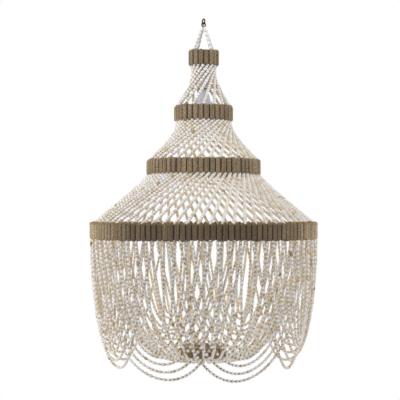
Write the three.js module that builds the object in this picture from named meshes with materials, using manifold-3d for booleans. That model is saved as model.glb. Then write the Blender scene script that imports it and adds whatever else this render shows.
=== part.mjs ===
// Beaded chandelier. Four jute-wrapped hoops, each wider than the one above, hang from each
// other on twisted strings of oval wooden beads. Below the widest hoop hang eight nests of
// beaded swags and, inside them, a bowl of strings that ends in a fifth, small hoop.
// A cross bar in the top hoop carries a lampholder and its bulb.
// Millimetres, Z up, origin at the top of the hanging link. The front looks along -Y.
import * as THREE from 'three';
import { mergeVertices } from 'three/addons/utils/BufferGeometryUtils.js';
import Module from 'manifold-3d';

const wasm = await Module();
wasm.setup();

// Fits shared by all pieces
const clearance = 0.3;
const cutOverrun = 2;
const weldShare = 0.01;
const mitreLimit = 2;

// Hoops: outer radius of the wrapped ring, and drop of its top edge below the hanging point
const ring1Radius = 40;
const ring2Radius = 78;
const ring3Radius = 151;
const ring4Radius = 300;
const ring5Radius = 60;
const ring1Drop = 86.5;
const ring2Drop = 234.5;
const ring3Drop = 377.5;
const ring4Drop = 545.5;
const ring5Drop = 868;

// Section of every ring: a flat steel hoop in a thick sleeve of jute turns
const ringHeight = 41;
const ring5Height = 30;
const wrapThickness = 14;
const wrapChamfer = 3;
const wrapFloor = 3;
const hoopThickness = 3;
const hoopRecess = 1.7;

// Bead strings: side of the square section with the area of the bead row
const tierSide = 6.4;
const swagSide = 5.6;
const hangerSide = 5.6;
const hangerCount = 4;
const tierAStrings = 16;
const tierBStrings = 32;
const tierCStrings = 64;
const tierATwist = THREE.MathUtils.degToRad(90);
const tierBTwist = THREE.MathUtils.degToRad(61.875);
const tierCTwist = THREE.MathUtils.degToRad(25.3125);
const tierAGroups = 4;
const tierBGroups = 4;
const tierCGroups = 8;
const tierASteps = 4;
const tierBSteps = 3;
const tierCSteps = 1;
const hangerAngle = THREE.MathUtils.degToRad(35);

// Swags: nests round the widest ring, loops in a nest, drop of the longest loop
const nestCount = 8;
const loopsPerNest = 8;
const nestAngle = THREE.MathUtils.degToRad(20);
const swagDrop = 342;
const swagDropShares = [0.66, 0.7, 0.76, 0.8, 0.83, 0.88, 0.94, 1];
const nestDropShares = [1, 0.95, 0.96, 0.98, 0.97, 0.96, 0.95, 0.99];
const swagSteps = 10;
const swagLayer = 4.6;
const swagCrossingShare = 0.1;
const swagCrowding = 1.4;
const swagCrowdingGain = 0.5;
const barrelTaper = 47;
const barrelTuck = 22;
const barrelTuckPower = 8;

// Bowl of strings from the inside of ring 4 to the underside of ring 5
const bowlStrings = 40;
const bowlGroups = 4;
const bowlSteps = 5;
const bowlRise = 12;
const bowlLowRadius = 75;

// Hanging link, hanging ring and the knot that gathers the four hanger strings
const linkHeight = 17.4;
const linkWidth = 16;
const linkWire = 3.8;
const linkTurn = THREE.MathUtils.degToRad(-60);
const hangingRingDiameter = 14.6;
const hangingRingWire = 3.6;
const knotCord = 2.4;
const knotRadius = 8.6;
const knotCrown = 3;
const knotHeight = 5;
const knotNeck = 0.6;
const knotStringRadius = 6.3;

// Cross bar in ring 1 with its two screws
const barWidth = 12;
const barThickness = 2;
const barDrop = 12.5;
const tabLength = 16;
const screwDiameter = 4;
const screwHeadDiameter = 7.5;
const screwHeadHeight = 2.4;

// Hollow stem with its nuts and the cord grip that takes the supply cord
const stemDiameter = 10;
const stemBore = 6;
const stemRise = 9;
const nutAcrossFlats = 14;
const nutHeight = 4;
const gripDiameter = 14;
const gripHeight = 10;
const gripBore = 7;
const gripLip = 3;

// Lampholder
const holderDrop = 148;
const stemEngagement = 8;
const capHeight = 12;
const capWall = 2;
const capShoulder = 6;
const holderDiameter = 38;
const shellHeight = 28;
const shellWall = 1.7;
const shellLip = 1;
const shellLipBore = 29.5;
const insertFloor = 4.5;
const socketBore = 27.8;
const contactLength = 14;
const contactWidth = 5;
const contactThickness = 1;
const shadeRingDiameter = 46;
const shadeRingHeight = 5;
const shadeRingLift = 1;

// Bulb
const bulbDiameter = 60;
const bulbLength = 107;
const glassWall = 1;
const bulbCapDiameter = 26.2;
const bulbCapHeight = 23;
const bulbCapWall = 0.8;
const bulbConeHeight = 4.5;
const tipDiameter = 9.5;
const tipHeight = 1.8;
const glassSeat = 10;
const neckDiameter = 30;
const neckDrop = 12;
const globeStations = [50, 75, 100, 125, 152];

// Facets round each piece
const ring1Facets = 24;
const ring2Facets = 32;
const ring3Facets = 48;
const ring4Facets = 64;
const ring5Facets = 24;
const lampFacets = 16;
const screwFacets = 10;
const wireSteps = 16;
const wireSides = 6;

const material = (color, roughness, metalness) =>
  new THREE.MeshStandardMaterial({ color, roughness, metalness });
const jute = material(0x7d6a50, 0.95, 0);
const hoopSteel = material(0x2c2f33, 0.5, 0.8);
const beads = material(0xd4cbbb, 0.6, 0);
const cord = material(0xb9ab90, 0.9, 0);
const blackSteel = material(0x1b1b1d, 0.4, 0.9);
const bronze = material(0x6a4a32, 0.4, 0.9);
const zinc = material(0x9a9c9e, 0.4, 0.9);
const palePlastic = material(0xcfccc4, 0.5, 0);
const ceramic = material(0xe6e2d8, 0.4, 0);
const brass = material(0xb08d4a, 0.35, 1);
const aluminium = material(0xb4b6b8, 0.35, 1);
const frosted = material(0xc9cad6, 0.35, 0);

const chandelier = new THREE.Group();
function add(name, geometry, finish) {
  const mesh = new THREE.Mesh(geometry, finish);
  mesh.name = name;
  chandelier.add(mesh);
}

// A point from its distance to the axis, its angle from the front and its height
function place(radius, angle, z) {
  return new THREE.Vector3(radius * Math.sin(angle), -radius * Math.cos(angle), z);
}

// A ring or cup turned about Z. The profile is closed, or starts and ends on the axis.
function turned(profile, facets) {
  const points = profile.map(([radius, z]) => new THREE.Vector2(radius, z));
  if (points[0].x > 0) points.push(points[0].clone());
  if (THREE.ShapeUtils.area(points) > 0) points.reverse();
  return new THREE.LatheGeometry(points.reverse(), facets).rotateX(Math.PI / 2);
}

function solid(geometry) {
  const bare = geometry.index ? geometry.toNonIndexed() : geometry.clone();
  bare.deleteAttribute('normal');
  bare.deleteAttribute('uv');
  const merged = mergeVertices(bare, clearance * weldShare);
  return new wasm.Manifold(new wasm.Mesh({
    numProp: 3,
    vertProperties: merged.attributes.position.array,
    triVerts: new Uint32Array(merged.index.array),
  }));
}

function surface(body) {
  const mesh = body.getMesh();
  const made = new THREE.BufferGeometry();
  made.setAttribute('position', new THREE.BufferAttribute(mesh.vertProperties, 3));
  made.setIndex(new THREE.BufferAttribute(mesh.triVerts, 1));
  return made;
}

function cut(geometry, ...tools) {
  return surface(tools.reduce((body, tool) => body.subtract(solid(tool)), solid(geometry)));
}

// A rod along X between two places
function rodAlongX(diameter, from, to, z, facets) {
  return new THREE.CylinderGeometry(diameter / 2, diameter / 2, Math.abs(to - from), facets)
    .rotateZ(Math.PI / 2)
    .translate((from + to) / 2, 0, z);
}

// A tube through the stations of a route. Each station has a place and the outward direction
// of the surface that the route lies on; corners are mitred across that surface.
function tube(route, section, closed = false) {
  const count = route.length;
  const sides = section.length;
  const positions = [];
  const faces = [];
  for (let i = 0; i < count; i += 1) {
    const before = closed ? route[(i + count - 1) % count] : route[Math.max(i - 1, 0)];
    const after = closed ? route[(i + 1) % count] : route[Math.min(i + 1, count - 1)];
    const arriving = route[i].at.clone().sub(before.at).normalize();
    const leaving = after.at.clone().sub(route[i].at).normalize();
    const along = arriving.clone().add(leaving).normalize();
    const out = route[i].out.clone();
    out.addScaledVector(along, -out.dot(along)).normalize();
    const across = along.clone().cross(out);
    const turn = Math.max(along.dot(leaving), along.dot(arriving));
    const mitre = Math.min(1 / turn, mitreLimit);
    for (const [u, v] of section) {
      const corner = route[i].at.clone();
      corner.addScaledVector(out, u).addScaledVector(across, v * mitre);
      positions.push(corner.x, corner.y, corner.z);
    }
  }
  const spans = closed ? count : count - 1;
  for (let i = 0; i < spans; i += 1) {
    const here = i * sides;
    const next = ((i + 1) % count) * sides;
    for (let s = 0; s < sides; s += 1) {
      const t = (s + 1) % sides;
      faces.push(here + s, here + t, next + t, here + s, next + t, next + s);
    }
  }
  if (!closed) {
    const last = (count - 1) * sides;
    for (let s = 1; s < sides - 1; s += 1) {
      faces.push(0, s + 1, s);
      faces.push(last, last + s, last + s + 1);
    }
  }
  const geometry = new THREE.BufferGeometry();
  geometry.setAttribute('position', new THREE.Float32BufferAttribute(positions, 3));
  geometry.setIndex(faces);
  return geometry;
}

function squareSection(side) {
  const half = side / 2;
  return [[-half, half], [-half, -half], [half, -half], [half, half]];
}
// How far the middle of a string stays off the face that it lies on, for a section tilted
// by this angle against the face
function standOff(side, tilt) {
  return clearance + (side / 2) * (Math.abs(Math.cos(tilt)) + Math.abs(Math.sin(tilt)));
}

function roundSection(radius) {
  return Array.from({ length: wireSides }, (_, i) => {
    const angle = (i / wireSides) * 2 * Math.PI;
    return [radius * Math.cos(angle), radius * Math.sin(angle)];
  });
}

// Rings

const rings = [
  { radius: ring1Radius, top: -ring1Drop, height: ringHeight, facets: ring1Facets },
  { radius: ring2Radius, top: -ring2Drop, height: ringHeight, facets: ring2Facets },
  { radius: ring3Radius, top: -ring3Drop, height: ringHeight, facets: ring3Facets },
  { radius: ring4Radius, top: -ring4Drop, height: ringHeight, facets: ring4Facets },
  { radius: ring5Radius, top: -ring5Drop, height: ring5Height, facets: ring5Facets },
];
for (const ring of rings) {
  ring.bottom = ring.top - ring.height;
  ring.inner = ring.radius - wrapThickness;
  ring.middle = ring.radius - wrapThickness / 2;
  ring.hoopInner = ring.middle - hoopThickness / 2;
  ring.hoopOuter = ring.middle + hoopThickness / 2;
}
const [ring1, ring2, ring3, ring4, ring5] = rings;

// A sleeve of jute, open along its top edge where the strings are tied to the hoop
function wrapSleeve(ring) {
  const floor = ring.bottom + wrapFloor;
  return turned([
    [ring.radius, ring.top - wrapChamfer],
    [ring.radius - wrapChamfer, ring.top],
    [ring.hoopOuter + clearance, ring.top],
    [ring.hoopOuter + clearance, floor],
    [ring.hoopInner - clearance, floor],
    [ring.hoopInner - clearance, ring.top],
    [ring.inner, ring.top],
    [ring.inner, ring.bottom],
    [ring.radius - wrapChamfer, ring.bottom],
    [ring.radius, ring.bottom + wrapChamfer],
  ], ring.facets);
}

function hoop(ring) {
  const bottom = ring.bottom + wrapFloor + clearance;
  const top = ring.top - hoopRecess;
  return turned([
    [ring.hoopOuter, bottom],
    [ring.hoopOuter, top],
    [ring.hoopInner, top],
    [ring.hoopInner, bottom],
  ], ring.facets);
}

// Cross bar screws run along X through the cross bar's tabs, the jute and the hoop of ring 1

const screwHole = screwDiameter + 2 * clearance;
const barTop = ring1.top - barDrop;
const screwHeight = barTop - barThickness - (tabLength - barThickness) / 2;
const facetShrink = Math.cos(Math.PI / ring1.facets);
const tabReach = Math.sqrt(ring1.inner ** 2 - (barWidth / 2) ** 2) * facetShrink - clearance;

for (const [index, ring] of rings.entries()) {
  const holes = (from, to) => (ring === ring1
    ? [1, -1].map((side) => rodAlongX(screwHole, side * from, side * to, screwHeight, screwFacets))
    : []);
  const sleeve = wrapSleeve(ring);
  const band = hoop(ring);
  const number = index + 1;
  add(`ring_${number}_hoop`, ring === ring1
    ? cut(band, ...holes(ring.hoopInner - cutOverrun, ring.hoopOuter + cutOverrun))
    : band, hoopSteel);
  add(`ring_${number}_wrap`, ring === ring1
    ? cut(sleeve, ...holes(ring.inner - cutOverrun, ring.middle))
    : sleeve, jute);
}

// Hanging link and hanging ring, linked as in a chain and turned together about Z

const linkMiddle = -linkHeight / 2;
const linkBend = (linkWidth - linkWire) / 2;
const linkStraight = linkHeight - linkWidth;
const alongY = new THREE.Vector3(0, 1, 0);
const linkRoute = Array.from({ length: wireSteps }, (_, i) => {
  const angle = ((i + 0.5) / wireSteps) * 2 * Math.PI;
  const lift = Math.sign(Math.cos(angle)) * linkStraight / 2;
  const z = linkMiddle + lift + linkBend * Math.cos(angle);
  return { at: new THREE.Vector3(linkBend * Math.sin(angle), 0, z), out: alongY };
});
const link = tube(linkRoute, roundSection(linkWire / 2), true);
add('hanging_link', link.rotateZ(linkTurn), bronze);

const linkSeat = -linkHeight + linkWire;
const ringWireMiddle = (hangingRingDiameter - hangingRingWire) / 2;
const hangingRingMiddle = linkSeat + clearance + hangingRingWire - hangingRingDiameter / 2;
const alongX = new THREE.Vector3(1, 0, 0);
const hangingRingRoute = Array.from({ length: wireSteps }, (_, i) => {
  const angle = ((i + 0.5) / wireSteps) * 2 * Math.PI;
  const y = ringWireMiddle * Math.sin(angle);
  const z = hangingRingMiddle + ringWireMiddle * Math.cos(angle);
  return { at: new THREE.Vector3(0, y, z), out: alongX };
});
const hangingRing = tube(hangingRingRoute, roundSection(hangingRingWire / 2), true);
add('hanging_ring', hangingRing.rotateZ(linkTurn), blackSteel);

// Knot: a cord eye round the bottom of the hanging ring, on a whipped knot

const eyeMiddle = hangingRingMiddle - ringWireMiddle;
const eyeBend = hangingRingWire / 2 + clearance + knotCord / 2;
const knotTop = eyeMiddle - eyeBend - knotNeck;
const knotBottom = knotTop - knotHeight;
const eyeRoute = Array.from({ length: wireSteps / 2 + 1 }, (_, i) => {
  const angle = Math.PI / 2 - (i / (wireSteps / 2)) * Math.PI;
  const at = new THREE.Vector3(eyeBend * Math.sin(angle), 0, eyeMiddle + eyeBend * Math.cos(angle));
  return { at, out: alongY };
});
const eyeLeg = (side) => ({
  at: new THREE.Vector3(side * eyeBend, 0, knotTop - knotCord / 2),
  out: alongY,
});
const eye = tube([eyeLeg(1), ...eyeRoute, eyeLeg(-1)], roundSection(knotCord / 2))
  .rotateZ(linkTurn);
const knotBody = turned([
  [0, knotTop],
  [knotCrown, knotTop],
  [knotRadius, knotBottom + knotHeight / 2],
  [knotRadius, knotBottom],
  [0, knotBottom],
], lampFacets);
add('apex_knot', surface(solid(eye).add(solid(knotBody))), cord);

// Four hanger strings from the knot to the top of ring 1

for (let i = 0; i < hangerCount; i += 1) {
  const angle = hangerAngle + (i / hangerCount) * 2 * Math.PI;
  const run = Math.atan2(ring1.middle - knotStringRadius, knotBottom - ring1.top);
  const endGap = clearance + (hangerSide / 2) * Math.sin(run);
  const out = place(1, angle, 0);
  add(`hanger_string_${i + 1}`, tube([
    { at: place(knotStringRadius, angle, knotBottom - endGap), out },
    { at: place(ring1.middle, angle, ring1.top + endGap), out },
  ], squareSection(hangerSide)), beads);
}

// Tiers: straight strings between two rings, turned round the axis on the way down. A group
// of them is one string that runs down and up again along the edges of the two rings.

function tierGroup(upper, lower, twist, steps, strings, first, count) {
  const fall = upper.bottom - lower.top;
  const upperTilt = Math.atan2(lower.middle * Math.cos(twist) - upper.middle, fall);
  const lowerTilt = Math.atan2(lower.middle - upper.middle * Math.cos(twist), fall);
  const facing = (angle, tilt) => {
    const out = place(Math.cos(tilt), angle, 0);
    out.z = Math.sin(tilt);
    return out;
  };
  const route = [];
  for (let i = 0; i < count; i += 1) {
    const angle = ((first + i) / strings) * 2 * Math.PI;
    const upperEnd = place(upper.middle, angle, upper.bottom - standOff(tierSide, upperTilt));
    const lowerEnd = place(lower.middle, angle - twist, lower.top + standOff(tierSide, lowerTilt));
    const upperOut = facing(angle, upperTilt);
    const lowerOut = facing(angle - twist, lowerTilt);
    const stations = Array.from({ length: steps + 1 }, (_, k) => ({
      at: upperEnd.clone().lerp(lowerEnd, k / steps),
      out: upperOut.clone().lerp(lowerOut, k / steps).normalize(),
    }));
    if (i % 2) stations.reverse();
    route.push(...stations);
  }
  return tube(route, squareSection(tierSide));
}

const tiers = [
  ['tier_a', ring1, ring2, tierATwist, tierASteps, tierAStrings, tierAGroups],
  ['tier_b', ring2, ring3, tierBTwist, tierBSteps, tierBStrings, tierBGroups],
  ['tier_c', ring3, ring4, tierCTwist, tierCSteps, tierCStrings, tierCGroups],
];
for (const [name, upper, lower, twist, steps, strings, groups] of tiers) {
  const count = strings / groups;
  for (let g = 0; g < groups; g += 1) {
    const group = tierGroup(upper, lower, twist, steps, strings, g * count, count);
    add(`${name}_strings_${g + 1}`, group, beads);
  }
}

// Swags: every loop hangs as a catenary on a barrel that narrows towards the bottom

const swagTop = ring4.bottom - standOff(swagSide, 0);
const endPitch = (2 * Math.PI) / (nestCount * loopsPerNest * 2);

function barrelRadius(z) {
  const depth = (swagTop - z) / swagDrop;
  return ring4.middle - barrelTaper * depth ** 2 - barrelTuck * depth ** barrelTuckPower;
}

// Scale of a catenary whose depth by this rule comes to the depth wanted, found by halving.
// A larger scale gives a shallower catenary.
const halvings = 60;
const scaleRange = 100;
function catenaryScale(reach, depthWanted, depthAt) {
  let low = reach / scaleRange;
  let high = reach * scaleRange;
  for (let i = 0; i < halvings; i += 1) {
    const scale = Math.sqrt(low * high);
    if (depthAt(scale) > depthWanted) low = scale;
    else high = scale;
  }
  return Math.sqrt(low * high);
}

// One loop from its left end to its right end. Its left arm lies outside the right arms that
// it crosses, and the two arms change places near the lowest point.
function swag(loop, nestMiddle, nestShare) {
  const left = (2 * loop + 1) * endPitch;
  const right = (2 * loop + 2) * endPitch;
  const halfSpan = ring4.middle * (left + right) / 2;
  const middle = nestMiddle + (right - left) / 2;
  const drop = swagDrop * swagDropShares[loop] * nestShare;
  const scale = catenaryScale(halfSpan, drop, (a) => a * (Math.cosh(halfSpan / a) - 1));
  const halfLength = scale * Math.sinh(halfSpan / scale);
  const crowding = swagCrowding + swagCrowdingGain * (1 - loop / (loopsPerNest - 1));
  return Array.from({ length: swagSteps + 1 }, (_, i) => {
    const share = (2 * i) / swagSteps - 1;
    const length = halfLength * Math.sign(share) * Math.abs(share) ** crowding;
    const across = scale * Math.asinh(length / scale);
    const z = swagTop - drop + Math.hypot(scale, length) - scale;
    const side = length / halfLength / 2 / swagCrossingShare;
    const layer = -swagLayer * Math.sin(THREE.MathUtils.clamp(side, -1, 1) * Math.PI / 2);
    const angle = middle + across / barrelRadius(z);
    return { at: place(barrelRadius(z) + layer, angle, z), out: place(1, angle, 0) };
  });
}

for (let nest = 0; nest < nestCount; nest += 1) {
  const route = [];
  for (let loop = 0; loop < loopsPerNest; loop += 1) {
    const middle = nestAngle + (nest / nestCount) * 2 * Math.PI;
    const stations = swag(loop, middle, nestDropShares[nest]);
    if (loop % 2) stations.reverse();
    route.push(...stations);
  }
  add(`swag_nest_${nest + 1}`, tube(route, squareSection(swagSide)), beads);
}

// Bowl: strings hang from inside ring 4, dip below ring 5 and rise to its underside

const bowlTop = ring4.bottom + bowlRise;
const bowlWall = ring4.inner * Math.cos(Math.PI / ring4.facets);

// The bowl's catenary between its two ends, and how its strings tilt there
function bowlCurve(topTilt, endTilt) {
  const topRadius = bowlWall - standOff(swagSide, topTilt);
  const end = ring5.bottom - standOff(swagSide, endTilt);
  const topReach = topRadius - bowlLowRadius;
  const endReach = bowlLowRadius - ring5.middle;
  const rise = (scale) => scale * (Math.cosh(topReach / scale) - Math.cosh(endReach / scale));
  const scale = catenaryScale(topReach, bowlTop - end, rise);
  return {
    scale,
    topLength: Math.sinh(topReach / scale),
    endLength: -Math.sinh(endReach / scale),
    low: end - scale * (Math.cosh(endReach / scale) - 1),
  };
}
const looseBowl = bowlCurve(0, 0);
const bowl = bowlCurve(Math.atan(1 / looseBowl.topLength), Math.atan(looseBowl.endLength));

function bowlString(angle) {
  return Array.from({ length: bowlSteps + 1 }, (_, i) => {
    const share = (1 - Math.cos((i / bowlSteps) * Math.PI)) / 2;
    const reach = THREE.MathUtils.lerp(Math.asinh(bowl.topLength), Math.asinh(bowl.endLength), share);
    const radius = bowlLowRadius + bowl.scale * reach;
    const length = Math.sinh(reach);
    const z = bowl.low + bowl.scale * (Math.hypot(1, length) - 1);
    const out = place(length, angle, -1);
    return { at: place(radius, angle, z), out: out.normalize() };
  });
}

const bowlGroupStrings = bowlStrings / bowlGroups;
for (let group = 0; group < bowlGroups; group += 1) {
  const route = [];
  for (let i = 0; i < bowlGroupStrings; i += 1) {
    const stations = bowlString(((group * bowlGroupStrings + i) / bowlStrings) * 2 * Math.PI);
    if (i % 2) stations.reverse();
    route.push(...stations);
  }
  add(`bowl_strings_${group + 1}`, tube(route, squareSection(swagSide)), beads);
}

// Cross bar: a strap across ring 1 with two tabs bent down against the jute

const stemHole = stemDiameter + 2 * clearance;
const barOutline = new THREE.Shape([
  [tabReach, barTop],
  [tabReach, barTop - tabLength],
  [tabReach - barThickness, barTop - tabLength],
  [tabReach - barThickness, barTop - barThickness],
  [barThickness - tabReach, barTop - barThickness],
  [barThickness - tabReach, barTop - tabLength],
  [-tabReach, barTop - tabLength],
  [-tabReach, barTop],
].map(([x, z]) => new THREE.Vector2(x, z)));
const barBlank = new THREE.ExtrudeGeometry(barOutline, { depth: barWidth, bevelEnabled: false })
  .rotateX(Math.PI / 2)
  .translate(0, barWidth / 2, 0);
const stemCutDepth = barThickness + 2 * cutOverrun;
const stemCutter = new THREE.CylinderGeometry(stemHole / 2, stemHole / 2, stemCutDepth, lampFacets)
  .rotateX(Math.PI / 2)
  .translate(0, 0, barTop - barThickness / 2);
const tabCutter = rodAlongX(screwHole, -ring1.inner, ring1.inner, screwHeight, screwFacets);
add('lamp_crossbar', cut(barBlank, stemCutter, tabCutter), zinc);

for (const [index, side] of [1, -1].entries()) {
  const headInner = tabReach - barThickness - clearance - screwHeadHeight;
  const screw = turned([
    [0, headInner],
    [screwHeadDiameter / 2, headInner],
    [screwHeadDiameter / 2, headInner + screwHeadHeight],
    [screwDiameter / 2, headInner + screwHeadHeight],
    [screwDiameter / 2, ring1.hoopOuter],
    [0, ring1.hoopOuter],
  ], screwFacets);
  add(`crossbar_screw_${index + 1}`, screw
    .rotateX(-Math.PI / 2)
    .rotateZ(-Math.PI / 2)
    .rotateZ(side > 0 ? 0 : Math.PI)
    .translate(0, 0, screwHeight), zinc);
}

// Hollow stem through the cross bar, with a nut above and below it

const stemTop = barTop + stemRise;
const stemBottom = -holderDrop - stemEngagement;
add('lamp_stem', turned([
  [stemDiameter / 2, stemTop],
  [stemDiameter / 2, stemBottom],
  [stemBore / 2, stemBottom],
  [stemBore / 2, stemTop],
], lampFacets), zinc);

function stemNut(top) {
  const nut = new THREE.CylinderGeometry(
    nutAcrossFlats / Math.sqrt(3),
    nutAcrossFlats / Math.sqrt(3),
    nutHeight,
    6,
  ).rotateX(Math.PI / 2).translate(0, 0, top - nutHeight / 2);
  const bore = new THREE.CylinderGeometry(stemHole / 2, stemHole / 2, nutHeight + cutOverrun, lampFacets)
    .rotateX(Math.PI / 2)
    .translate(0, 0, top - nutHeight / 2);
  return cut(nut, bore);
}
const upperNutTop = barTop + clearance + nutHeight;
add('stem_nut_upper', stemNut(upperNutTop), zinc);
add('stem_nut_lower', stemNut(barTop - barThickness - clearance), zinc);

// Cord grip on top of the stem, open for the supply cord
const gripBottom = upperNutTop + clearance;
add('cord_grip', turned([
  [gripDiameter / 2, gripBottom],
  [gripDiameter / 2, gripBottom + gripHeight - gripLip],
  [gripBore / 2 + gripLip / 2, gripBottom + gripHeight],
  [gripBore / 2, gripBottom + gripHeight],
  [gripBore / 2, stemTop + clearance],
  [stemHole / 2, stemTop + clearance],
  [stemHole / 2, gripBottom],
], lampFacets), palePlastic);

// Lampholder: a cap on the stem, a shell, and the insert with the thread and the contact

const holderRadius = holderDiameter / 2;
const capBottom = -holderDrop - capHeight;
add('lampholder_cap', turned([
  [stemHole / 2, -holderDrop],
  [holderRadius - capShoulder, -holderDrop],
  [holderRadius, -holderDrop - capShoulder],
  [holderRadius, capBottom],
  [holderRadius - capWall, capBottom],
  [holderRadius - capWall, -holderDrop - capShoulder],
  [holderRadius - capShoulder - capWall / 2, -holderDrop - capWall],
  [stemHole / 2, -holderDrop - capWall],
], lampFacets), palePlastic);

const shellTop = capBottom - clearance;
const shellBottom = shellTop - shellHeight;
const shellBore = holderRadius - shellWall;
add('lampholder_shell', turned([
  [holderRadius, shellTop],
  [holderRadius, shellBottom],
  [shellLipBore / 2, shellBottom],
  [shellLipBore / 2, shellBottom + shellLip],
  [shellBore, shellBottom + shellLip],
  [shellBore, shellTop],
], lampFacets), palePlastic);

const insertRadius = shellBore - clearance;
const insertBottom = shellBottom + shellLip + clearance;
const socketTop = shellTop - insertFloor;
add('lampholder_insert', turned([
  [0, shellTop],
  [insertRadius, shellTop],
  [insertRadius, insertBottom],
  [socketBore / 2, insertBottom],
  [socketBore / 2, socketTop],
  [0, socketTop],
], lampFacets), ceramic);

const contactTop = socketTop - clearance;
add('lampholder_contact', new THREE.BoxGeometry(contactLength, contactWidth, contactThickness)
  .translate(0, 0, contactTop - contactThickness / 2), brass);

const shadeRingBottom = shellBottom + shadeRingLift;
add('shade_ring', turned([
  [shadeRingDiameter / 2, shadeRingBottom],
  [shadeRingDiameter / 2, shadeRingBottom + shadeRingHeight],
  [holderRadius + clearance, shadeRingBottom + shadeRingHeight],
  [holderRadius + clearance, shadeRingBottom],
], lampFacets), palePlastic);

// Bulb: contact tip, screw cap with its insulating cone, and a hollow frosted envelope

const tipTop = contactTop - contactThickness - clearance;
add('bulb_contact', turned([
  [0, tipTop],
  [tipDiameter / 4, tipTop],
  [tipDiameter / 2, tipTop - tipHeight / 2],
  [tipDiameter / 2, tipTop - tipHeight],
  [0, tipTop - tipHeight],
], lampFacets), zinc);

const bulbCapTop = tipTop - tipHeight - clearance;
const bulbCapBottom = bulbCapTop - bulbCapHeight;
const bulbCapRadius = bulbCapDiameter / 2;
const bulbCapBore = bulbCapRadius - bulbCapWall;
add('bulb_screw_cap', turned([
  [0, bulbCapTop],
  [tipDiameter / 2, bulbCapTop],
  [bulbCapRadius, bulbCapTop - bulbConeHeight],
  [bulbCapRadius, bulbCapBottom],
  [bulbCapBore, bulbCapBottom],
  [bulbCapBore, bulbCapTop - bulbConeHeight - bulbCapWall],
  [0, bulbCapTop - bulbConeHeight - bulbCapWall],
], lampFacets), aluminium);

const bulbRadius = bulbDiameter / 2;
const bulbMiddle = tipTop - bulbLength + bulbRadius;
const glassNeck = bulbCapBore - clearance;
const glassTop = bulbCapBottom + glassSeat;
const neckBottom = bulbCapBottom - neckDrop;
function globeArc(radius) {
  return globeStations.map((degrees) => {
    const angle = THREE.MathUtils.degToRad(degrees);
    return [radius * Math.sin(angle), bulbMiddle + radius * Math.cos(angle)];
  });
}
add('bulb_glass', turned([
  [glassNeck, glassTop],
  [glassNeck, bulbCapBottom - clearance],
  [neckDiameter / 2, neckBottom],
  ...globeArc(bulbRadius),
  [0, bulbMiddle - bulbRadius],
  [0, bulbMiddle - bulbRadius + glassWall],
  ...globeArc(bulbRadius - glassWall).reverse(),
  [neckDiameter / 2 - glassWall, neckBottom],
  [glassNeck - glassWall, bulbCapBottom - clearance],
  [glassNeck - glassWall, glassTop],
], lampFacets), frosted);

export default chandelier;
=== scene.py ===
# %% [markdown]
# # A beaded chandelier
# Four hoops wrapped in jute hang one below the other on twisted strings of oval wooden beads.
# Below the widest hoop hang eight nests of beaded swags, and inside them a bowl of strings that
# ends in a fifth, small hoop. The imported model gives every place. This script dresses it: it
# replaces the plain strings by rows of beads, the plain rings by turns of twine and the plain
# hardware by turned and bent pieces, and gives the hoops and the cross bar their finish.
# Lengths are in millimetres until a mesh is made.

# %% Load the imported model
import math

import bmesh
import bpy
import numpy as np
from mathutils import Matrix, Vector


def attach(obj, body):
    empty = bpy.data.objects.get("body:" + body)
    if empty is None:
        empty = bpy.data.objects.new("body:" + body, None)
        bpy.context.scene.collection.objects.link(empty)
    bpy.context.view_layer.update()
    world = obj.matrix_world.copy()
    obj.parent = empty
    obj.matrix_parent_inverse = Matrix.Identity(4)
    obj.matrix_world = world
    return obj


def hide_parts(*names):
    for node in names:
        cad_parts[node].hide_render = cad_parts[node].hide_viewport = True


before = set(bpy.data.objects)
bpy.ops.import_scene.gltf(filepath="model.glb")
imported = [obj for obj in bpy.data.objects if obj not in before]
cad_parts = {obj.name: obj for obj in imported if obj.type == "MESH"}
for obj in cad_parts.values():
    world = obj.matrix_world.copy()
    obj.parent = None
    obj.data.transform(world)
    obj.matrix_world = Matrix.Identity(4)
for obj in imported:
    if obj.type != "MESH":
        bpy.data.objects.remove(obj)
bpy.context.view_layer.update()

MM = 0.001
chance = np.random.default_rng(41)

# %% [markdown]
# ## Camera, floor and light
# The photograph looks level at the lamp from about 2.8 m, so the rings show as straight bands.
# A long lens at that distance gives the same slight perspective. The background is white
# wherever a camera ray or a reflection meets it, while the light on the object comes from a
# weaker world and from soft lamps. That keeps the pale beads from washing out.

# %% Camera
PIXELS = 400
FOCAL_PIXELS = 1050.0
CAMERA_DISTANCE = 2788.0
CAMERA_HEIGHT = -526.0
CAMERA_SIDE = -9.6
CAMERA_TILT = 0.87

camera_data = bpy.data.cameras.new("camera")
camera_data.sensor_width = 36.0
camera_data.lens = FOCAL_PIXELS / PIXELS * camera_data.sensor_width
camera = bpy.data.objects.new("camera", camera_data)
camera.location = Vector((CAMERA_SIDE, -CAMERA_DISTANCE, CAMERA_HEIGHT)) * MM
camera.rotation_euler = (math.radians(90 + CAMERA_TILT), 0, 0)
bpy.context.collection.objects.link(camera)
bpy.context.scene.camera = camera
bpy.context.scene.view_settings.view_transform = "Standard"
print("camera lens", round(camera_data.lens, 1), "mm")

# %% [markdown]
# ## Writing shader maths as plain expressions
# A procedural finish is a small calculation. `Wire` holds one output of a node and turns
# `a * b + 1` into Math nodes. `Finish` is a material being made. Its method `node` adds any
# other node: the settings are set first, then the sockets get values or wires.

# %% Wires and finishes
class Wire:
    """One node output. Sums and products with numbers or wires add Math nodes."""

    def __init__(self, finish, socket):
        self.finish, self.socket = finish, socket

    def maths(self, operation, *terms):
        return self.finish.node("ShaderNodeMath", {"operation": operation}, dict(enumerate(terms)))

    def __add__(self, other):
        return self.maths("ADD", self, other)

    def __mul__(self, other):
        return self.maths("MULTIPLY", self, other)

    __radd__ = __add__
    __rmul__ = __mul__


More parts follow.
